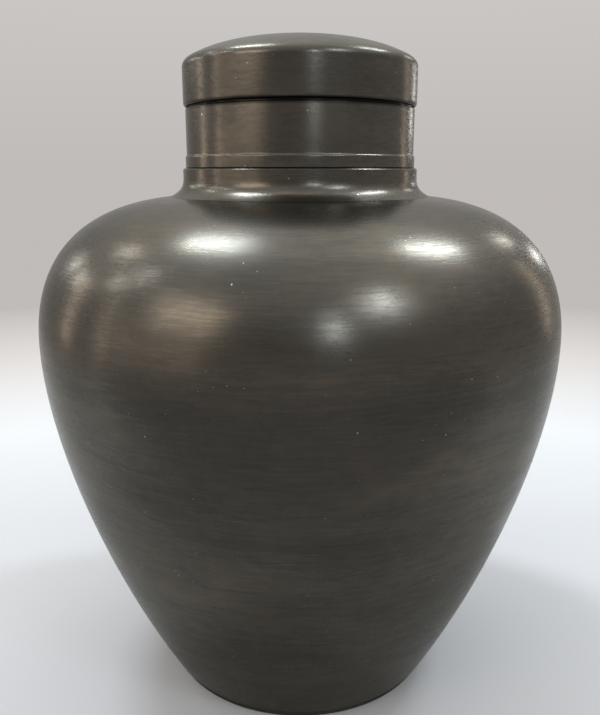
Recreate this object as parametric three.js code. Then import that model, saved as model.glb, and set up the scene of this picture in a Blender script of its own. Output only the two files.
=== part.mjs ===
// Round tin tea jar with a turned neck, an inner lid and a tall outer lid.
// Millimetres, +Z up. The origin is on the axis, on the surface that the jar stands on.
import * as THREE from 'three';

// Facets round every turned piece
const SEGMENTS = 40;
const CURVE_STEPS = 8;

// Clearances
const SLIDE_GAP = 0.35;
const FIT_GAP = 0.3;

// Foot and floor of the jar
const FOOT_RADIUS = 35.4;
const FOOT_WIDTH = 4;
const FOOT_HEIGHT = 2.2;
const BASE_THICKNESS = 1.6;

// Body
const BODY_WALL = 1.6;
const BOTTOM_RADIUS = 36.6;
const BOTTOM_FLANGE = 3.6;
const BOTTOM_SLOPE = 0.57;
const BOTTOM_FULLNESS = 23.3;
const BELLY_RADIUS = 65;
const BELLY_HEIGHT = 90.9;
const BELLY_FULLNESS_BELOW = 26.6;
const BELLY_FULLNESS_ABOVE = 19.3;
const LAP_DEPTH = 6;
const LAP_WALL = 1.2;

// Shoulder top and neck
const SHOULDER_HEIGHT = 124.4;
const SHOULDER_FLAT_WIDTH = 6.35;
const SHOULDER_FULLNESS = 21.5;
const SHOULDER_FALL = 2.2;
const NECK_RISE = 6.8;
const NECK_RADIUS = 28.9;
const NECK_FOOT_FLARE = 3.4;

// Mouth collar
const COLLAR_RISE = 16;
const COLLAR_WALL = 1.2;
const COLLAR_FLANGE_THICKNESS = 1.2;
const COLLAR_FLANGE_WIDTH = 5.8;

// Outer lid
const SKIRT_RADIUS = 27.9;
const SKIRT_WALL = 1.2;
const SKIRT_HEIGHT = 13.8;
const BAND_STEP = 0.3;
const BAND_HEIGHT = 3;
const GROOVE_HEIGHT = 0.5;
const TONGUE_WALL = 0.7;
const TONGUE_RISE = 4;
const CAP_OVERHANG = 0.45;
const CAP_EDGE_INSET = 0.55;
const CAP_EDGE_RISE = 1.1;
const CAP_WALL_HEIGHT = 8.8;
const CAP_TOP_WALL = 1.4;
const RIM_INSET = 3.15;
const RIM_RISE = 3;
const DOME_RISE = 4;

// Inner lid
const PLATE_THICKNESS = 1.2;
const PLATE_INSET = 0.15;
const PLUG_WALL = 1.2;
const PLUG_DEPTH = 6;
const KNOB_RADIUS = 6;
const KNOB_WAIST = 3.6;
const KNOB_HEIGHT = 9.6;

// Levels and radii that several pieces share
const flangeTop = FOOT_HEIGHT + BASE_THICKNESS;
const seam = SHOULDER_HEIGHT + NECK_RISE;
const skirtInner = SKIRT_RADIUS - SKIRT_WALL;
const collarOuter = skirtInner - SLIDE_GAP;
const collarInner = collarOuter - COLLAR_WALL;
const collarTop = seam + COLLAR_RISE;
const neckHole = collarOuter + FIT_GAP;
const shoulderFlat = neckHole + SHOULDER_FLAT_WIDTH;
const grooveTop = seam + SKIRT_HEIGHT + GROOVE_HEIGHT;
const tongueTop = grooveTop + TONGUE_RISE;
const tongueOuter = skirtInner + TONGUE_WALL;
const capRadius = SKIRT_RADIUS + CAP_OVERHANG;
const plateTop = collarTop + PLATE_THICKNESS;

// A cubic curve in the (radius, height) plane
function curve(start, startHandle, endHandle, end) {
  const ends = [start, startHandle, endHandle, end].map(([r, z]) => new THREE.Vector2(r, z));
  return new THREE.CubicBezierCurve(...ends);
}

const lowerCurve = curve(
  [BOTTOM_RADIUS, FOOT_HEIGHT],
  [BOTTOM_RADIUS + BOTTOM_SLOPE * BOTTOM_FULLNESS, FOOT_HEIGHT + BOTTOM_FULLNESS],
  [BELLY_RADIUS, BELLY_HEIGHT - BELLY_FULLNESS_BELOW],
  [BELLY_RADIUS, BELLY_HEIGHT],
);
const shoulderCurve = curve(
  [BELLY_RADIUS, BELLY_HEIGHT],
  [BELLY_RADIUS, BELLY_HEIGHT + BELLY_FULLNESS_ABOVE],
  [shoulderFlat + SHOULDER_FULLNESS, SHOULDER_HEIGHT - SHOULDER_FALL],
  [shoulderFlat, SHOULDER_HEIGHT],
);

function pointsOf(path, steps = CURVE_STEPS) {
  return path.getPoints(steps).map((p) => [p.x, p.y]);
}

// The same curve, moved in by the wall along its own normal
function insetPoints(path, wall) {
  const points = [];
  for (let step = 0; step <= CURVE_STEPS; step += 1) {
    const point = path.getPoint(step / CURVE_STEPS);
    const tangent = path.getTangent(step / CURVE_STEPS);
    points.push([point.x - wall * tangent.y, point.y + wall * tangent.x]);
  }
  return points;
}

// Radius of a wall's inner side at a height, between two of its points
function radiusAt(points, height) {
  const upper = points.findIndex(([, z]) => z > height);
  const [r0, z0] = points[upper - 1];
  const [r1, z1] = points[upper];
  return r0 + ((r1 - r0) * (height - z0)) / (z1 - z0);
}

const lowerInside = insetPoints(lowerCurve, BODY_WALL);
lowerInside[CURVE_STEPS] = [BELLY_RADIUS - BODY_WALL, BELLY_HEIGHT];
const insideAtFlange = radiusAt(lowerInside, flangeTop);
const lapOuter = radiusAt(lowerInside, BELLY_HEIGHT - LAP_DEPTH) - FIT_GAP;

const tin = { color: 0x4b4a46, roughness: 0.32, metalness: 1 };
const paleTin = { color: 0x8b8a84, roughness: 0.4, metalness: 1 };

const jar = new THREE.Group();
jar.name = 'tea_jar';

// Turns an outline about the Z axis. Outlines run up the outer side and down the inner side.
function turned(name, outline, finish, closed = true) {
  const loop = closed ? [...outline, outline[0]] : outline;
  const geometry = new THREE.LatheGeometry(loop.map(([r, z]) => new THREE.Vector2(r, z)), SEGMENTS);
  geometry.rotateX(Math.PI / 2);
  const mesh = new THREE.Mesh(geometry, new THREE.MeshStandardMaterial(finish));
  mesh.name = name;
  jar.add(mesh);
}

// Foot ring, under the turned-in bottom of the body
turned('foot_ring', [
  [FOOT_RADIUS - FOOT_WIDTH, 0],
  [FOOT_RADIUS, 0],
  [FOOT_RADIUS, FOOT_HEIGHT],
  [FOOT_RADIUS - FOOT_WIDTH, FOOT_HEIGHT],
], tin);

// Base plate, lying on the body's bottom flange
turned('base_plate', [
  [0, flangeTop],
  [insideAtFlange - FIT_GAP, flangeTop],
  [insideAtFlange - FIT_GAP, flangeTop + BASE_THICKNESS],
  [0, flangeTop + BASE_THICKNESS],
], paleTin, false);

// Lower body, from the foot to the widest point
turned('lower_body', [
  ...pointsOf(lowerCurve),
  ...lowerInside.slice(1).reverse(),
  [insideAtFlange, flangeTop],
  [BOTTOM_RADIUS - BOTTOM_FLANGE, flangeTop],
  [BOTTOM_RADIUS - BOTTOM_FLANGE, FOOT_HEIGHT],
], tin);

// Shoulder shell, with a lap that goes down inside the lower body
const shoulderInside = insetPoints(shoulderCurve, BODY_WALL);
shoulderInside[CURVE_STEPS][1] = SHOULDER_HEIGHT - BODY_WALL;
turned('shoulder_shell', [
  [lapOuter, BELLY_HEIGHT - LAP_DEPTH],
  [lapOuter, BELLY_HEIGHT],
  ...pointsOf(shoulderCurve),
  [neckHole, SHOULDER_HEIGHT],
  [neckHole, SHOULDER_HEIGHT - BODY_WALL],
  ...shoulderInside.slice(1).reverse(),
  [lapOuter - LAP_WALL, BELLY_HEIGHT],
  [lapOuter - LAP_WALL, BELLY_HEIGHT - LAP_DEPTH],
], tin);

// Neck ring, a cove that stands on the shoulder and ends in the ledge under the outer lid
const cove = curve(
  [NECK_RADIUS + NECK_FOOT_FLARE, SHOULDER_HEIGHT],
  [NECK_RADIUS + NECK_FOOT_FLARE / 4, SHOULDER_HEIGHT + NECK_RISE / 5],
  [NECK_RADIUS, SHOULDER_HEIGHT + NECK_RISE / 3],
  [NECK_RADIUS, SHOULDER_HEIGHT + NECK_RISE * 0.7],
);
turned('neck_ring', [
  [neckHole, SHOULDER_HEIGHT],
  ...pointsOf(cove, CURVE_STEPS / 2),
  [NECK_RADIUS, seam],
  [neckHole, seam],
], tin);

// Mouth collar, held by its flange under the shoulder's flat top
const flangeUnder = SHOULDER_HEIGHT - BODY_WALL - COLLAR_FLANGE_THICKNESS;
turned('mouth_collar', [
  [collarInner, flangeUnder],
  [neckHole + COLLAR_FLANGE_WIDTH, flangeUnder],
  [neckHole + COLLAR_FLANGE_WIDTH, SHOULDER_HEIGHT - BODY_WALL],
  [collarOuter, SHOULDER_HEIGHT - BODY_WALL],
  [collarOuter, collarTop],
  [collarInner, collarTop],
], paleTin);

// Outer lid's skirt, with its bottom band, and the tongue that carries the cap
turned('lid_skirt', [
  [skirtInner, seam],
  [SKIRT_RADIUS + BAND_STEP, seam],
  [SKIRT_RADIUS + BAND_STEP, seam + BAND_HEIGHT - BAND_STEP],
  [SKIRT_RADIUS, seam + BAND_HEIGHT],
  [SKIRT_RADIUS, seam + SKIRT_HEIGHT],
  [tongueOuter, seam + SKIRT_HEIGHT],
  [tongueOuter, tongueTop],
  [skirtInner, tongueTop],
], tin);

// Outer lid's domed cap
const wallTop = grooveTop + CAP_WALL_HEIGHT;
const rimRadius = capRadius - RIM_INSET;
const rimTop = wallTop + RIM_RISE;
const domeTop = rimTop + DOME_RISE;
const rim = curve(
  [capRadius, wallTop],
  [capRadius, wallTop + RIM_RISE * 0.6],
  [capRadius - RIM_INSET * 0.6, rimTop - RIM_RISE * 0.2],
  [rimRadius, rimTop],
);
const dome = curve(
  [rimRadius, rimTop],
  [rimRadius * 0.72, rimTop + DOME_RISE * 0.8],
  [rimRadius * 0.36, domeTop],
  [0, domeTop],
);
const capEdge = curve(
  [capRadius - CAP_EDGE_INSET, grooveTop],
  [capRadius - CAP_EDGE_INSET / 3, grooveTop],
  [capRadius, grooveTop + CAP_EDGE_RISE / 3],
  [capRadius, grooveTop + CAP_EDGE_RISE],
);
const capTop = [...pointsOf(rim, CURVE_STEPS / 2), ...pointsOf(dome, CURVE_STEPS / 2).slice(1)];
const insideScale = skirtInner / capRadius;
const capInside = capTop.map(([r, z]) => [r * insideScale, z - CAP_TOP_WALL]).reverse();
turned('lid_cap', [
  ...capInside,
  [skirtInner, tongueTop],
  [tongueOuter + FIT_GAP, tongueTop],
  [tongueOuter + FIT_GAP, grooveTop],
  ...pointsOf(capEdge, CURVE_STEPS / 4),
  ...capTop,
], tin, false);

// Inner lid's plate, resting on the collar's rim
turned('inner_lid_plate', [
  [0, collarTop],
  [collarOuter - PLATE_INSET, collarTop],
  [collarOuter - PLATE_INSET, plateTop],
  [0, plateTop],
], paleTin, false);

// Inner lid's plug ring, inside the collar
const plugOuter = collarInner - SLIDE_GAP;
turned('inner_lid_plug', [
  [plugOuter - PLUG_WALL, collarTop - PLUG_DEPTH],
  [plugOuter, collarTop - PLUG_DEPTH],
  [plugOuter, collarTop],
  [plugOuter - PLUG_WALL, collarTop],
], paleTin);

// Inner lid's turned knob
const knobSwell = curve(
  [KNOB_WAIST, plateTop + KNOB_HEIGHT / 3],
  [KNOB_RADIUS, plateTop + KNOB_HEIGHT / 2],
  [KNOB_RADIUS, plateTop + KNOB_HEIGHT],
  [0, plateTop + KNOB_HEIGHT],
);
turned('inner_lid_knob', [
  [0, plateTop],
  [KNOB_WAIST, plateTop],
  ...pointsOf(knobSwell),
], paleTin, false);

export default jar;
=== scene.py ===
# Round tin tea jar in dark, satin, patinated metal, standing on a plain pale floor.
import math

import bpy
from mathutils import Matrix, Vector


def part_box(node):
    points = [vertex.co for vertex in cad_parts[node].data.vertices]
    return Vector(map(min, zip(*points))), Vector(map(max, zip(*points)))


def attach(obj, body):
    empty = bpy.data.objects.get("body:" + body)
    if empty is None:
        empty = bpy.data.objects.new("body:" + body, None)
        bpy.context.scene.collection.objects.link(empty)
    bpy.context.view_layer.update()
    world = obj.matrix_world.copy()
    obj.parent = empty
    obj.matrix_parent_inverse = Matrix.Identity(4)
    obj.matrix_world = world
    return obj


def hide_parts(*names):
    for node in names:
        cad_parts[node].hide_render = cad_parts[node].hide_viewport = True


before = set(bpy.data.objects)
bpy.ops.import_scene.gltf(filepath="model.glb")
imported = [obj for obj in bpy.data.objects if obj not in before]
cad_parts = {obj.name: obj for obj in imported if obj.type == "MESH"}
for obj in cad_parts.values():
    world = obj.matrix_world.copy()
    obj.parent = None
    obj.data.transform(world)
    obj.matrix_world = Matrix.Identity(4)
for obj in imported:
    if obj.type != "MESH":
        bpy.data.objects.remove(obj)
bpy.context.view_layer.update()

MM = 0.001

# Fineness of the turned meshes
SEGMENTS = 160
CURVE_STEPS = 40
FILLET_STEPS = 4
SHARP_ANGLE = math.radians(35)

# Body outline, in metres
FOOT_WIDTH = 4 * MM
BODY_WALL = 1.6 * MM
BOTTOM_FLANGE = 3.6 * MM
BOTTOM_OVERHANG = 1.2 * MM
BOTTOM_SLOPE = 0.57
BOTTOM_FULLNESS = 23.3 * MM
BELLY_FULLNESS_BELOW = 26.6 * MM
BELLY_FULLNESS_ABOVE = 19.3 * MM
BELLY_LAND = 0.2 * MM
SHOULDER_FLAT_WIDTH = 6.35 * MM
SHOULDER_FULLNESS = 21.5 * MM
SHOULDER_FALL = 2.2 * MM
NECK_FOOT_FLARE = 3.4 * MM
LEDGE_BEVEL = 0.3 * MM
LAP_WALL = 1.2 * MM
FIT_GAP = 0.3 * MM
SLIDE_GAP = 0.35 * MM

# Lid outline
BAND_STEP = 0.3 * MM
BAND_HEIGHT = 3 * MM
GROOVE_HEIGHT = 0.5 * MM
TONGUE_WALL = 0.7 * MM
CAP_EDGE_INSET = 0.55 * MM
CAP_EDGE_RISE = 1.1 * MM
CAP_WALL_HEIGHT = 8.8 * MM
CAP_TOP_WALL = 1.4 * MM
RIM_INSET = 3.15 * MM
RIM_RISE = 3 * MM
LID_WALL = 1.2 * MM
EDGE_RADIUS = 0.25 * MM

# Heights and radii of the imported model
FOOT_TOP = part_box("foot_ring")[1][2]
FOOT_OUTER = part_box("foot_ring")[1][0]
FLANGE_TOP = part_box("base_plate")[0][2]
PLATE_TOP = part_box("base_plate")[1][2]
PLATE_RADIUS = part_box("base_plate")[1][0]
BELLY_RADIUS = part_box("lower_body")[1][0]
BELLY_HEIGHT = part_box("lower_body")[1][2]
LAP_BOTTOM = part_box("shoulder_shell")[0][2]
SHOULDER_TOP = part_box("shoulder_shell")[1][2]
NECK_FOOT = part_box("neck_ring")[1][0]
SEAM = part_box("neck_ring")[1][2]
COLLAR_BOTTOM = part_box("mouth_collar")[0][2]
COLLAR_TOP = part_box("mouth_collar")[1][2]
COLLAR_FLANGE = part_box("mouth_collar")[1][0]
BAND_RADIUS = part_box("lid_skirt")[1][0]
TONGUE_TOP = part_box("lid_skirt")[1][2]
GROOVE_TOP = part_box("lid_cap")[0][2]
CAP_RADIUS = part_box("lid_cap")[1][0]
DOME_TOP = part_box("lid_cap")[1][2]
LID_PLATE_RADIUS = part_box("inner_lid_plate")[1][0]
LID_PLATE_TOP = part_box("inner_lid_plate")[1][2]
PLUG_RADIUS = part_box("inner_lid_plug")[1][0]
PLUG_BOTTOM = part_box("inner_lid_plug")[0][2]
KNOB_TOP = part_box("inner_lid_knob")[1][2]

SKIRT_RADIUS = BAND_RADIUS - BAND_STEP
SKIRT_INNER = SKIRT_RADIUS - LID_WALL
COLLAR_OUTER = SKIRT_INNER - SLIDE_GAP
COLLAR_INNER = COLLAR_OUTER - LID_WALL
NECK_HOLE = COLLAR_OUTER + FIT_GAP
NECK_RADIUS = NECK_FOOT - NECK_FOOT_FLARE
TONGUE_OUTER = SKIRT_INNER + TONGUE_WALL


def curve(start, first, second, end, steps=CURVE_STEPS):
    """Points of a cubic curve in the (radius, height) plane."""
    points = []
    for step in range(steps + 1):
        t = step / steps
        weights = ((1 - t) ** 3, 3 * (1 - t) ** 2 * t, 3 * (1 - t) * t * t, t ** 3)
        controls = (start, first, second, end)
        points.append(tuple(sum(w * c[axis] for w, c in zip(weights, controls)) for axis in (0, 1)))
    return points


def inset(points, wall):
    """The points moved in by the wall, square to the curve."""
    moved = []
    for index, (radius, height) in enumerate(points):
        before = points[max(index - 1, 0)]
        after = points[min(index + 1, len(points) - 1)]
        run, rise = after[0] - before[0], after[1] - before[1]
        length = math.hypot(run, rise)
        moved.append((radius - wall * rise / length, height + wall * run / length))
    return moved


def softened(corners, radius=EDGE_RADIUS):
    """The outline's corners, each turned into a small rounded edge."""
    points = []
    count = len(corners)
    for index, corner in enumerate(corners):
        ends = []
        for other in (corners[index - 1], corners[(index + 1) % count]):
            length = math.dist(corner, other)
            reach = min(radius, 0.4 * length) / length
            ends.append(tuple(c + (o - c) * reach for c, o in zip(corner, other)))
        if corner[0] == 0:
            points.append(corner)
            continue
        for step in range(FILLET_STEPS + 1):
            t = step / FILLET_STEPS
            weights = ((1 - t) ** 2, 2 * (1 - t) * t, t * t)
            mix = zip(ends[0], corner, ends[1])
            points.append(tuple(sum(w * v for w, v in zip(weights, values)) for values in mix))
    return points


def faces_inwards(verts, faces):
    """Whether a closed mesh's faces point inwards, which makes its signed volume negative."""
    volume = 0
    for first, *rest in faces:
        for second, third in zip(rest, rest[1:]):
            volume += Vector(verts[first]).dot(Vector(verts[second]).cross(Vector(verts[third])))
    return volume < 0


def turned(name, outline, material, body, closed=True):
    """Turns an outline about the Z axis into one smooth closed piece that replaces a node."""
    verts = []
    rings = []
    for radius, height in outline:
        if radius == 0:
            rings.append([len(verts)])
            verts.append((0, 0, height))
            continue
        rings.append(list(range(len(verts), len(verts) + SEGMENTS)))
        for k in range(SEGMENTS):
            angle = 2 * math.pi * k / SEGMENTS
            verts.append((radius * math.cos(angle), radius * math.sin(angle), height))
    pairs = list(zip(rings, rings[1:]))
    if closed:
        pairs.append((rings[-1], rings[0]))
    faces = []
    for low, high in pairs:
        for k in range(SEGMENTS):
            corners = [low[k % len(low)], low[(k + 1) % len(low)]]
            corners += [high[(k + 1) % len(high)], high[k % len(high)]]
            faces.append(list(dict.fromkeys(corners)))
    mesh = bpy.data.meshes.new(name)
    mesh.from_pydata(verts, [], faces)
    if faces_inwards(verts, faces):
        mesh.flip_normals()
    mesh.shade_smooth()
    mesh.set_sharp_from_angle(angle=SHARP_ANGLE)
    mesh.materials.append(material)
    piece = bpy.data.objects.new(name + "_fine", mesh)
    bpy.context.scene.collection.objects.link(piece)
    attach(piece, body)
    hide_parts(name)
    return piece


class Graph:
    """Short calls for building a material's node tree."""

    def __init__(self, material):
        material.use_nodes = True
        self.tree = material.node_tree
        self.tree.nodes.clear()

    def node(self, kind, inputs=None, **settings):
        made = self.tree.nodes.new(kind)
        for key, value in settings.items():
            setattr(made, key, value)
        for key, value in (inputs or {}).items():
            if isinstance(value, bpy.types.NodeSocket):
                self.tree.links.new(value, made.inputs[key])
            else:
                made.inputs[key].default_value = value
        return made

    def maths(self, operation, first, second=0.0):
        return self.node("ShaderNodeMath", {0: first, 1: second}, operation=operation).outputs[0]

    def vector(self, operation, first, second=(0, 0, 0)):
        return self.node("ShaderNodeVectorMath", {0: first, 1: second}, operation=operation).outputs[0]

    def mix(self, factor, first, second):
        inputs = {"Factor": factor, 6: first, 7: (*second, 1)}
        return self.node("ShaderNodeMix", inputs, data_type="RGBA").outputs[2]

    def fit(self, value, low, high, start=0.0, end=1.0):
        inputs = {"Value": value, "From Min": low, "From Max": high, "To Min": start, "To Max": end}
        return self.node("ShaderNodeMapRange", inputs).outputs[0]

    def ramp(self, factor, stops):
        made = self.node("ShaderNodeValToRGB", {"Fac": factor})
        elements = made.color_ramp.elements
        while len(elements) < len(stops):
            elements.new(0.5)
        for element, (position, colour) in zip(elements, stops):
            element.position = position
            element.color = (*colour, 1)
        return made.outputs["Color"]

    def noise(self, vector, scale, detail=2.0, roughness=0.5):
        values = {"Vector": vector, "Scale": scale, "Detail": detail, "Roughness": roughness}
        return self.node("ShaderNodeTexNoise", values).outputs["Fac"]


def turned_metal(name, slot, darkest, middle, lightest, radial, painted_shade_bands=()):
    """Satin metal with turning lines, a mottled patina, faint dents, specks of dust and bands of painted shade
    at the given heights.
    """
    material = bpy.data.materials.new(name)
    material["slot"] = slot
    graph = Graph(material)
    place = graph.node("ShaderNodeTexCoord").outputs["Object"]
    axes = graph.node("ShaderNodeSeparateXYZ", {"Vector": place})
    flat = graph.node("ShaderNodeCombineXYZ", {"X": axes.outputs["X"], "Y": axes.outputs["Y"]})
    radius = graph.node("ShaderNodeVectorMath", {0: flat.outputs[0]}, operation="LENGTH")
    height = axes.outputs["Z"]
    along = graph.maths("ADD", height, graph.maths("MULTIPLY", radius.outputs["Value"], radial))
    wander = graph.maths("MULTIPLY", graph.noise(place, 30), 0.0012)
    line_place = graph.maths("ADD", along, wander)

    # Streaks are long round the jar's axis and short across it.
    around = graph.vector("NORMALIZE", flat.outputs[0])
    round_place = graph.vector("MULTIPLY", around, (0.6, 0.6, 0))
    lift = graph.node("ShaderNodeCombineXYZ", {"Z": graph.maths("MULTIPLY", line_place, 100)}).outputs[0]
    lines = graph.noise(graph.vector("ADD", round_place, lift), 14, 4, 0.65)
    bands = graph.node(
        "ShaderNodeTexNoise", {"W": line_place, "Scale": 220.0, "Detail": 2.0}, noise_dimensions="1D"
    ).outputs["Fac"]
    patina = graph.noise(graph.vector("MULTIPLY", place, (1, 1, 2.2)), 20, 6, 0.6)
    mottle = graph.noise(place, 420, 4, 0.6)
    dents = graph.noise(place, 45, 2, 0.4)
    specks = graph.noise(place, 1500, 1, 0.5)

    tone = graph.maths("ADD", graph.maths("MULTIPLY", patina, 0.5), graph.maths("MULTIPLY", mottle, 0.12))
    tone = graph.maths("ADD", tone, graph.maths("MULTIPLY", bands, 0.08))
    tone = graph.maths("ADD", tone, graph.maths("MULTIPLY", lines, 0.3))
    colour = graph.ramp(tone, [(0.36, darkest), (0.5, middle), (0.64, lightest)])
    dust = graph.ramp(specks, [(0.79, (0, 0, 0)), (0.83, (1, 1, 1))])
    colour = graph.mix(dust, colour, DUST)
    # Each band darkens the colour towards near black: painted shade for the shadow inside a narrow gap or
    # groove.
    for centre, half in painted_shade_bands:
        away = graph.maths("ABSOLUTE", graph.maths("SUBTRACT", height, centre))
        colour = graph.mix(graph.fit(away, half, half * 2.5, 0.9, 0.0), colour, PAINTED_SHADE_COLOUR)
    gloss = graph.fit(tone, 0.35, 0.65, 0.32, 0.22)
    broad = graph.node("ShaderNodeBump", {"Height": dents, "Strength": 0.5, "Distance": 0.00012})
    fine = graph.node(
        "ShaderNodeBump",
        {"Height": lines, "Strength": 0.6, "Distance": 0.00003, "Normal": broad.outputs[0]},
    )
    shader = graph.node(
        "ShaderNodeBsdfPrincipled",
        {"Base Color": colour, "Metallic": 1.0, "Roughness": gloss, "Normal": fine.outputs[0]},
    )
    shader.inputs["Specular Tint"].default_value = (0.7, 0.7, 0.68, 1)
    shader.inputs["Anisotropic"].default_value = 0.4
    shader.inputs["Anisotropic Rotation"].default_value = 0.25
    graph.node("ShaderNodeOutputMaterial", {"Surface": shader.outputs[0]})
    return material


DUST = (0.62, 0.61, 0.58)
# Near-black colour of the painted shade in the lid's groove and seam lines.
PAINTED_SHADE_COLOUR = (0.012, 0.011, 0.01)
DARK = (0.066, 0.064, 0.056)
MIDDLE = (0.094, 0.088, 0.076)
WARM = (0.138, 0.117, 0.092)
bowl_metal = turned_metal("bowl_metal", "tin", DARK, MIDDLE, WARM, 1.0)
# Bands of painted shade: the shadowed seam line where the lid meets the neck, and the shadowed groove under the
# cap's rounded lower edge.
seam_painted_shade = (SEAM, 0.12 * MM)
groove_painted_shade = (GROOVE_TOP - GROOVE_HEIGHT / 2, 0.4 * MM)
shoulder_metal = turned_metal("shoulder_metal", "tin", DARK, MIDDLE, WARM, -1.0, [seam_painted_shade])
lid_metal = turned_metal("lid_metal", "tin", DARK, MIDDLE, WARM, -1.0, [seam_painted_shade, groove_painted_shade])
PALE_DARK = (0.2, 0.193, 0.175)
PALE_MIDDLE = (0.27, 0.26, 0.24)
PALE_WARM = (0.34, 0.325, 0.295)
pale_metal = turned_metal("pale_metal", "pale_tin", PALE_DARK, PALE_MIDDLE, PALE_WARM, -1.0)


def make_body():
    foot_inner = FOOT_OUTER - FOOT_WIDTH
    foot = [(foot_inner, 0), (FOOT_OUTER, 0), (FOOT_OUTER, FOOT_TOP), (foot_inner, FOOT_TOP)]
    turned("foot_ring", softened(foot), bowl_metal, "jar")

    plate = [(0, FLANGE_TOP), (PLATE_RADIUS, FLANGE_TOP), (PLATE_RADIUS, PLATE_TOP), (0, PLATE_TOP)]
    turned("base_plate", softened(plate), pale_metal, "jar", closed=False)

    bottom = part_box("lower_body")[0][2]
    bottom_radius = FOOT_OUTER + BOTTOM_OVERHANG
    outside = curve(
        (bottom_radius, bottom),
        (bottom_radius + BOTTOM_SLOPE * BOTTOM_FULLNESS, bottom + BOTTOM_FULLNESS),
        (BELLY_RADIUS, BELLY_HEIGHT - BELLY_FULLNESS_BELOW),
        (BELLY_RADIUS, BELLY_HEIGHT),
    )
    outside.insert(-1, (BELLY_RADIUS, BELLY_HEIGHT - BELLY_LAND))
    inside = [p for p in reversed(inset(outside, BODY_WALL)) if p[1] > FLANGE_TOP + 2 * BELLY_LAND]
    inside[0] = (BELLY_RADIUS - BODY_WALL, BELLY_HEIGHT)
    lap_outer = min(inside, key=lambda point: abs(point[1] - LAP_BOTTOM))[0] - FIT_GAP
    flange_inner = bottom_radius - BOTTOM_FLANGE
    flange = [(PLATE_RADIUS + FIT_GAP, FLANGE_TOP), (flange_inner, FLANGE_TOP), (flange_inner, bottom)]
    turned("lower_body", outside + inside + flange, bowl_metal, "jar")

    shoulder_flat = NECK_HOLE + SHOULDER_FLAT_WIDTH
    outside = curve(
        (BELLY_RADIUS, BELLY_HEIGHT),
        (BELLY_RADIUS, BELLY_HEIGHT + BELLY_FULLNESS_ABOVE),
        (shoulder_flat + SHOULDER_FULLNESS, SHOULDER_TOP - SHOULDER_FALL),
        (shoulder_flat, SHOULDER_TOP),
    )
    inside = list(reversed(inset(outside, BODY_WALL)))[:-1]
    inside[0] = (inside[0][0], SHOULDER_TOP - BODY_WALL)
    outside.insert(1, (BELLY_RADIUS, BELLY_HEIGHT + BELLY_LAND))
    lap = [(lap_outer - LAP_WALL, BELLY_HEIGHT), (lap_outer - LAP_WALL, LAP_BOTTOM)]
    lap += [(lap_outer, LAP_BOTTOM), (lap_outer, BELLY_HEIGHT)]
    hole = [(NECK_HOLE, SHOULDER_TOP), (NECK_HOLE, SHOULDER_TOP - BODY_WALL)]
    turned("shoulder_shell", outside + hole + inside + lap, shoulder_metal, "jar")


def make_neck():
    rise = SEAM - SHOULDER_TOP
    cove = curve(
        (NECK_FOOT, SHOULDER_TOP),
        (NECK_RADIUS + (NECK_FOOT - NECK_RADIUS) / 4, SHOULDER_TOP + rise / 5),
        (NECK_RADIUS, SHOULDER_TOP + rise / 3),
        (NECK_RADIUS, SHOULDER_TOP + rise * 0.7),
    )
    ledge = [(NECK_RADIUS, SEAM - LEDGE_BEVEL), (NECK_RADIUS - LEDGE_BEVEL, SEAM), (NECK_HOLE, SEAM)]
    turned("neck_ring", [(NECK_HOLE, SHOULDER_TOP)] + cove + ledge, shoulder_metal, "jar")

    flange_top = SHOULDER_TOP - BODY_WALL
    collar = [(COLLAR_INNER, COLLAR_BOTTOM), (COLLAR_FLANGE, COLLAR_BOTTOM), (COLLAR_FLANGE, flange_top)]
    collar += [(COLLAR_OUTER, flange_top), (COLLAR_OUTER, COLLAR_TOP), (COLLAR_INNER, COLLAR_TOP)]
    turned("mouth_collar", softened(collar), pale_metal, "jar")


def make_outer_lid():
    groove_bottom = GROOVE_TOP - GROOVE_HEIGHT
    skirt = [
        (SKIRT_INNER, SEAM),
        (BAND_RADIUS, SEAM),
        (BAND_RADIUS, SEAM + BAND_HEIGHT - BAND_STEP),
        (SKIRT_RADIUS, SEAM + BAND_HEIGHT),
        (SKIRT_RADIUS, groove_bottom),
        (TONGUE_OUTER, groove_bottom),
        (TONGUE_OUTER, TONGUE_TOP),
        (SKIRT_INNER, TONGUE_TOP),
    ]
    turned("lid_skirt", softened(skirt), lid_metal, "outer_lid")

    wall_top = GROOVE_TOP + CAP_WALL_HEIGHT
    rim_radius = CAP_RADIUS - RIM_INSET
    rim_top = wall_top + RIM_RISE
    rise = DOME_TOP - rim_top
    rim = curve(
        (CAP_RADIUS, wall_top),
        (CAP_RADIUS, wall_top + RIM_RISE * 0.6),
        (CAP_RADIUS - RIM_INSET * 0.6, rim_top - RIM_RISE * 0.2),
        (rim_radius, rim_top),
    )
    dome = curve(
        (rim_radius, rim_top),
        (rim_radius * 0.72, rim_top + rise * 0.8),
        (rim_radius * 0.36, DOME_TOP),
        (0, DOME_TOP),
    )
    top = rim + dome[1:]
    scale = SKIRT_INNER / CAP_RADIUS
    inside = [(r * scale, z - CAP_TOP_WALL) for r, z in reversed(top)]
    socket_radius = TONGUE_OUTER + FIT_GAP
    socket = [(SKIRT_INNER, TONGUE_TOP), (socket_radius, TONGUE_TOP), (socket_radius, GROOVE_TOP)]
    edge = curve(
        (CAP_RADIUS - CAP_EDGE_INSET, GROOVE_TOP),
        (CAP_RADIUS - CAP_EDGE_INSET / 3, GROOVE_TOP),
        (CAP_RADIUS, GROOVE_TOP + CAP_EDGE_RISE / 3),
        (CAP_RADIUS, GROOVE_TOP + CAP_EDGE_RISE),
        2 * FILLET_STEPS,
    )
    turned("lid_cap", inside + socket + edge + top, lid_metal, "outer_lid", closed=False)


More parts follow.
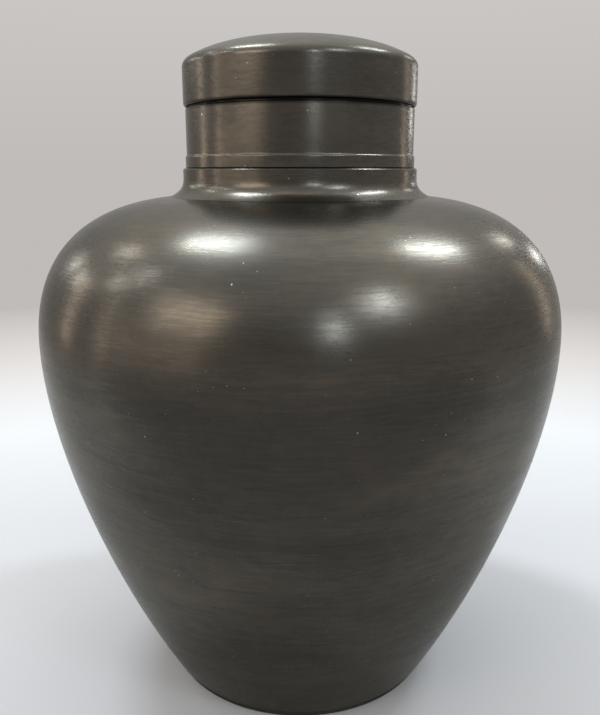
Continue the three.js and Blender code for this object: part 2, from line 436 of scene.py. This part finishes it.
def make_inner_lid():
    plate = [(0, COLLAR_TOP), (LID_PLATE_RADIUS, COLLAR_TOP)]
    plate += [(LID_PLATE_RADIUS, LID_PLATE_TOP), (0, LID_PLATE_TOP)]
    turned("inner_lid_plate", softened(plate), pale_metal, "inner_lid", closed=False)

    plug_inner = PLUG_RADIUS - LID_WALL
    plug = [(plug_inner, PLUG_BOTTOM), (PLUG_RADIUS, PLUG_BOTTOM)]
    plug += [(PLUG_RADIUS, COLLAR_TOP), (plug_inner, COLLAR_TOP)]
    turned("inner_lid_plug", softened(plug), pale_metal, "inner_lid")

    rise = KNOB_TOP - LID_PLATE_TOP
    waist = 3.6 * MM
    swell = 6 * MM
    knob = curve(
        (waist, LID_PLATE_TOP + rise / 3),
        (swell, LID_PLATE_TOP + rise / 2),
        (swell, KNOB_TOP),
        (0, KNOB_TOP),
    )
    stem = [(0, LID_PLATE_TOP), (waist, LID_PLATE_TOP)]
    turned("inner_lid_knob", stem + knob, pale_metal, "inner_lid", closed=False)


def make_floor():
    """A plain pale floor that fades into the background's colour far from the jar, with a painted shadow on the
    viewer's side, painted shade where the jar stands and a brighter painted band of light behind it.
    """
    material = bpy.data.materials.new("floor")
    graph = Graph(material)
    place = graph.node("ShaderNodeTexCoord").outputs["Object"]
    depth = graph.node("ShaderNodeSeparateXYZ", {"Vector": place}).outputs["Y"]
    spread = graph.fit(depth, -0.2, 0.8)
    # Painted light and shade on the floor: a dark painted shadow in front, painted shade round the jar's base
    # and a painted brighter band of light behind it.
    front_painted_shadow = (0.2, 0.2, 0.205)
    base_painted_shade = (0.47, 0.475, 0.49)
    bright = (0.52, 0.53, 0.54)
    far = (0.53, 0.5, 0.485)
    colour = graph.ramp(spread, [(0.07, front_painted_shadow), (0.16, base_painted_shade), (0.27, base_painted_shade), (0.37, bright), (0.54, far)])
    distance = graph.node("ShaderNodeVectorMath", {0: place}, operation="LENGTH").outputs["Value"]
    fade = graph.fit(distance, 0.22, 0.6)
    matt = graph.node("ShaderNodeBsdfDiffuse", {"Color": colour})
    glow = graph.node("ShaderNodeEmission", {"Color": (*far, 1)})
    mix = graph.node("ShaderNodeMixShader", {0: fade, 1: matt.outputs[0], 2: glow.outputs[0]})
    graph.node("ShaderNodeOutputMaterial", {"Surface": mix.outputs[0]})
    reach = 30
    mesh = bpy.data.meshes.new("floor")
    corners = [(-reach, -reach, 0), (reach, -reach, 0), (reach, reach, 0), (-reach, reach, 0)]
    mesh.from_pydata(corners, [], [(0, 1, 2, 3)])
    mesh.materials.append(material)
    floor = bpy.data.objects.new("floor", mesh)
    bpy.context.scene.collection.objects.link(floor)


def make_world():
    """A room that is pale above and behind the jar, and dimmer on the viewer's side."""
    world = bpy.data.worlds.new("room")
    bpy.context.scene.world = world
    graph = Graph(world)
    towards = graph.node("ShaderNodeTexCoord").outputs["Generated"]
    axes = graph.node("ShaderNodeSeparateXYZ", {"Vector": towards})
    horizon = (0.53, 0.5, 0.485)
    stops = [(0.0, horizon), (0.3, (0.62, 0.6, 0.585)), (0.6, (1.2, 1.19, 1.16)), (1.0, (1.35, 1.35, 1.32))]
    colour = graph.ramp(axes.outputs["Z"], stops)
    side = graph.fit(axes.outputs["Y"], -0.9, 0.2, 0.55)
    background = graph.node("ShaderNodeBackground", {"Color": colour, "Strength": side})
    graph.node("ShaderNodeOutputWorld", {"Surface": background.outputs[0]})


def lamp(name, direction, distance, size, power, colour=(1, 1, 1)):
    """A soft lamp in that direction from the jar's shoulder, facing it."""
    data = bpy.data.lights.new(name, "AREA")
    data.shape = "RECTANGLE"
    data.size, data.size_y = size
    data.energy = power
    data.color = colour
    made = bpy.data.objects.new(name, data)
    x, y, z = direction
    made.location = (x * distance, y * distance, LAMP_AIM + z * distance)
    made.rotation_euler = (math.atan2(math.hypot(x, y), z), 0, math.atan2(x, -y))
    made.visible_camera = False
    bpy.context.scene.collection.objects.link(made)


LAMP_AIM = 0.11
WARM_LIGHT = (1, 0.84, 0.7)
COOL_LIGHT = (0.84, 0.93, 1)


def make_lamps():
    """Two bright spots above, a few dim ones round the room, and two tall strips beside the lid."""
    lamp("spot_left", (-0.34, 0.22, 0.91), 0.95, (0.13, 0.27), 4.2, COOL_LIGHT)
    lamp("spot_right", (0.55, 0.24, 0.8), 0.95, (0.11, 0.26), 3.2, COOL_LIGHT)
    lamp("front_low", (0.225, -0.9, 0.375), 0.95, (0.08, 0.15), 0.65, COOL_LIGHT)
    lamp("front_broad", (0.5, -0.62, 0.6), 1.0, (0.36, 0.3), 0.8, COOL_LIGHT)
    lamp("front_high", (0.5, -0.62, 0.61), 0.95, (0.1, 0.15), 0.75, COOL_LIGHT)
    for index, direction in enumerate(
        [(-0.68, 0.34, 0.63), (-0.76, 0.57, 0.29), (-0.87, 0.39, 0.3), (-0.87, 0.05, 0.5), (-0.77, -0.06, 0.65)]
    ):
        lamp(f"left_{index}", direction, 1.0, (0.06, 0.12), 0.28)
    lamp("left_broad", (-0.68, -0.6, 0.45), 1.0, (0.5, 0.35), 1.8, WARM_LIGHT)
    lamp("left_wall", (-0.85, -0.5, 0.08), 1.1, (0.8, 0.5), 0.8, WARM_LIGHT)
    lamp("right_back", (0.62, 0.66, 0.41), 1.0, (0.08, 0.1), 0.3)
    lamp("right_low", (0.61, 0.78, 0.13), 1.0, (0.06, 0.08), 0.2)
    lamp("strip_left", (-0.95, 0.3, 0.06), 0.9, (0.05, 0.6), 0.45, WARM_LIGHT)
    lamp("strip_side", (-1.0, -0.1, 0.05), 0.9, (0.05, 0.6), 0.3, WARM_LIGHT)
    lamp("strip_right", (0.84, 0.53, 0.06), 0.9, (0.04, 0.6), 0.4, WARM_LIGHT)
    lamp("ceiling", (0.0, 0.3, 0.95), 1.4, (1.2, 1.2), 2)


def make_camera():
    """The photograph's view: low, close and tipped down a little."""
    data = bpy.data.cameras.new("camera")
    data.sensor_width = 36
    data.lens = 37.26
    data.clip_start = 0.005
    camera = bpy.data.objects.new("camera", data)
    camera.location = (0, -0.191, 0.1306)
    camera.rotation_euler = (math.radians(90 - 14.15), 0, 0)
    bpy.context.scene.collection.objects.link(camera)
    bpy.context.scene.camera = camera


make_camera()
make_body()
make_neck()
make_outer_lid()
make_inner_lid()
make_floor()
make_world()
make_lamps()
bpy.context.scene.view_settings.view_transform = "Standard"
